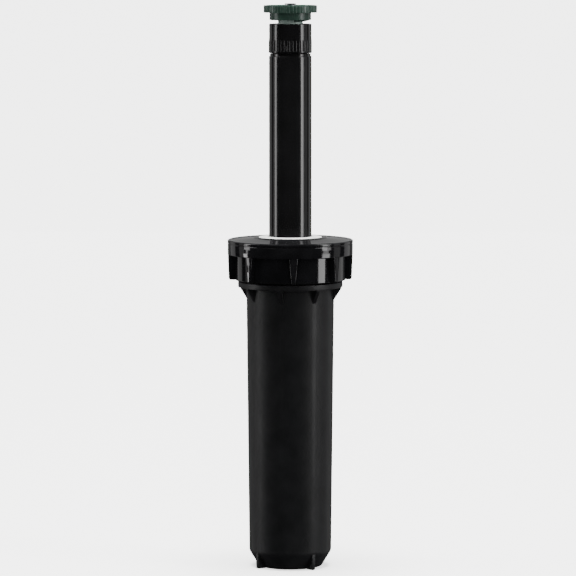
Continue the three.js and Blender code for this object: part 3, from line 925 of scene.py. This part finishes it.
def makeNozzleBase():
    low = footOf("nozzle_base")
    high = topOf("nozzle_base")
    bandTop = low + nozzle["bandHeight"]
    ceiling = topOf("riser_stem") + nozzle["ceilingRise"]
    shell = turned([
        (nozzle["socket"], low, slight),
        (nozzle["bandRadius"], low, broad),
        (nozzle["bandRadius"], bandTop - nozzle["bandTaper"], 0.6),
        (nozzle["radius"], bandTop + nozzle["bandTaper"], 0.6),
        (nozzle["radius"], high, 0.35),
        (nozzle["hole"], high, slight),
        (nozzle["hole"], ceiling, slight),
        (nozzle["socket"], ceiling, plain),
    ])
    flutes = [groove(nozzle["fluteWidth"], nozzle["fluteDepth"], nozzle["bandRadius"], azimuth,
                     low + nozzle["fluteFoot"], bandTop + nozzle["fluteOver"])
              for azimuth in around(nozzle["flutes"])]
    item = shaped("nozzleBody", shell, removed=flutes)
    fitted(item, "blackStem", "stem", "nozzle_base")


makeNozzleBase()
print("nozzle base ready")


# nozzle core: pale insert with a three-legged web that steadies the screw

core = {
    "radius": 5.65,
    "bore": 4.35,
    "flange": 8.2,
    "flangeThickness": 1,
    "hub": 2.6,
    "hubHeight": 1.6,
    "screwHole": 1.65,
    "legWidth": 1.2,
    "legDrop": 0.2,
    "legs": 3,
    "legFirst": 60,
}


def makeNozzleCore():
    low = footOf("nozzle_core")
    high = topOf("nozzle_core")
    tube = turned([
        (core["bore"], low, slight),
        (core["flange"], low, slight),
        (core["flange"], low + core["flangeThickness"], slight),
        (core["radius"], low + core["flangeThickness"], 0.25),
        (core["radius"], high, slight),
        (core["bore"], high, slight),
    ])
    hub = turned([
        (core["screwHole"], low, crisp),
        (core["hub"], low, slight),
        (core["hub"], low + core["hubHeight"], slight),
        (core["screwHole"], low + core["hubHeight"], crisp),
    ], steps=modelling["smallSteps"])
    legs = [plate([
        (core["hub"] - embed, low),
        (core["bore"] + embed, low),
        (core["bore"] + embed, low + core["hubHeight"] - core["legDrop"]),
        (core["hub"] - embed, low + core["hubHeight"] - core["legDrop"]),
    ], core["legWidth"], azimuth) for azimuth in around(core["legs"], core["legFirst"])]
    item = shaped("nozzleInsert", tube, [hub] + legs)
    fitted(item, "paleGreen", "stem", "nozzle_core")


makeNozzleCore()
print("nozzle core ready")


# arc collar: knurled flange, neck, and a skirt whose underside climbs round to a step

arcCollar = {
    "neckRadius": 9.45,
    "topDrop": 0.35,
    "flangeThickness": 3.3,
    "neckHeight": 3.3,
    "skirtHeight": 0.85,
    "knurls": 48,
    "knurlDepth": 0.2,
    "knurlWidth": 0.9,
    "postRadius": 3.55,
    "recess": 5.95,
    "screwHole": 1.65,
    "well": 2.9,
    "wellDepth": 4.05,
    "stepAzimuth": 15,
    "rampRise": 1.0,
    "rampTurn": 358 / 360,
    "rampLag": 2,           # degrees from the step to the ramp's start
    "rampDepth": 2,
    "rampCut": 0.1,
    "rampInner": 0.4,
    "rampOuter": 1.5,
    "recessRise": 0.3,
    "skirtFlat": 0.35,
    "rimWidth": 1.2,
    "rimSlope": 1.9,
    "dish": 0.5,
    "bossFoot": 1.8,
    "bossTop": 1.3,
    "bossDrop": 0.2,
    "knurlOver": 1,
    "ringCentre": 2.15,
}


def makeArcCollar():
    top = topOf("arc_collar") - arcCollar["topDrop"]
    foot = footOf("arc_collar")
    radius = radiusOf("arc_collar")
    flangeFoot = top - arcCollar["flangeThickness"]
    neckFoot = flangeFoot - arcCollar["neckHeight"]
    skirtFoot = neckFoot - arcCollar["skirtHeight"]
    recessTop = topOf("nozzle_core") + arcCollar["recessRise"]
    boss = top - arcCollar["bossDrop"]
    dish = top - arcCollar["dish"]
    body = turned([
        (arcCollar["screwHole"], foot, crisp),
        (arcCollar["postRadius"], foot, plain),
        (arcCollar["postRadius"], recessTop, crisp),
        (arcCollar["recess"], recessTop, crisp),
        (arcCollar["recess"], skirtFoot),
        (arcCollar["recess"] + arcCollar["skirtFlat"], skirtFoot, 0.1),
        (arcCollar["neckRadius"], neckFoot, 0.25),
        (arcCollar["neckRadius"], flangeFoot, 0.25),
        (radius, flangeFoot, slight),
        (radius, top, soft),
        (radius - arcCollar["rimWidth"], top, plain),
        (radius - arcCollar["rimSlope"], dish, soft),
        (arcCollar["well"] + arcCollar["bossFoot"], dish, plain),
        (arcCollar["well"] + arcCollar["bossTop"], boss, slight),
        (arcCollar["well"], boss, slight),
        (arcCollar["well"], top - arcCollar["wellDepth"]),
        (arcCollar["screwHole"], top - arcCollar["wellDepth"]),
    ])
    knurls = [groove(arcCollar["knurlWidth"], arcCollar["knurlDepth"], radius, azimuth,
                     flangeFoot - arcCollar["knurlOver"], top + arcCollar["knurlOver"])
              for azimuth in around(arcCollar["knurls"])]
    # the ramp: a blade wound once round, its upper edge climbing towards the step
    low = skirtFoot - arcCollar["rampDepth"]
    high = skirtFoot - arcCollar["rampCut"]
    inner = arcCollar["postRadius"] + arcCollar["rampInner"]
    outer = arcCollar["neckRadius"] + arcCollar["rampOuter"]
    ramp = wound([(inner, low), (outer, low), (outer, high), (inner, high)], arcCollar["rampRise"],
                 arcCollar["rampTurn"], modelling["roundSteps"],
                 arcCollar["stepAzimuth"] + arcCollar["rampLag"])
    item = shaped("arcDial", body, removed=knurls + [ramp])
    fitted(item, "greenPlastic", "arc_adjuster", "arc_collar")


makeArcCollar()
oRing("screw_o_ring", arcCollar["ringCentre"], middleOf("screw_o_ring"),
      ringThickness["screw_o_ring"], "screwRing", "arc_adjuster")
print("arc collar ready")


# radius screw and throttle plug

screw = {
    "radius": 1.35,
    "head": 2.6,
    "headHeight": 1.2,
    "slotWidth": 0.8,
    "slotDepth": 0.7,
    "slotAzimuth": 35,
    "slotOver": 1,
    "threadHeight": 0.16,
    "threadPitch": 0.5,
    "threadLead": 0.6,
    "threadEmbed": 0.15,
    "threadRoot": 0.2,
    "threadTip": 0.03,
    "threadEnd": 4.5,       # from the head down to where the thread stops
    "neckFoot": 4,
    "neckTop": 3.8,
}


def makeScrew():
    low = footOf("radius_screw")
    high = topOf("radius_screw")
    headFoot = high - screw["headHeight"]
    shankRadius = screw["radius"] - screw["threadHeight"]
    shank = turned([
        (0, low),
        (shankRadius, low, slight),
        (shankRadius, headFoot - screw["neckFoot"]),
        (screw["radius"], headFoot - screw["neckTop"]),
        (screw["radius"], headFoot, 0.1),
        (screw["head"], headFoot, crisp),
        (screw["head"], high, soft),
        (0, high),
    ], closed=False, steps=modelling["smallSteps"])
    reach = screw["head"] + screw["slotOver"]
    slotFoot = high - screw["slotDepth"]
    slotTop = high + screw["slotOver"]
    slot = plate([(-reach, slotFoot), (reach, slotFoot), (reach, slotTop), (-reach, slotTop)],
                 screw["slotWidth"], screw["slotAzimuth"])
    pitch = screw["threadPitch"]
    start = low + screw["threadLead"]
    turns = (headFoot - screw["threadEnd"] - low - screw["threadLead"]) / pitch
    thread = wound([
        (shankRadius - screw["threadEmbed"], start - screw["threadRoot"]),
        (shankRadius, start - screw["threadRoot"]),
        (screw["radius"], start - screw["threadTip"]),
        (screw["radius"], start + screw["threadTip"]),
        (shankRadius, start + screw["threadRoot"]),
        (shankRadius - screw["threadEmbed"], start + screw["threadRoot"]),
    ], pitch, turns, modelling["screwThreadSteps"])
    item = shaped("flowScrew", shank, [thread], [slot])
    fitted(item, "screwSteel", "screw", "radius_screw")


throttle = {
    "tipRadius": 1.2,
    "taper": 1.4,
    "socket": 1.65,
    "screwGap": 0.3,
}


def makeThrottle():
    low = footOf("throttle_plug")
    high = topOf("throttle_plug")
    radius = radiusOf("throttle_plug")
    floor = footOf("radius_screw") - throttle["screwGap"]
    bm = turned([
        (0, low),
        (throttle["tipRadius"], low, plain),
        (radius, low + throttle["taper"], plain),
        (radius, high, plain),
        (throttle["socket"], high, crisp),
        (throttle["socket"], floor, 0.1),
        (0, floor),
    ], closed=False, steps=modelling["smallSteps"])
    fitted(objectFrom(bm, "flowPlug"), "acetal", "throttle", "throttle_plug")


makeScrew()
makeThrottle()
print("screw and throttle ready")


# CAD nodes that keep their own meshes

keptNodes = {
    "ratchet_ring": "acetal",
    "ratchet_crown": "acetal",
    "filter_screen": "acetal",
}

for node, finish in keptNodes.items():
    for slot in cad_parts[node].material_slots:
        slot.material = finishes[finish]
print("kept nodes painted")
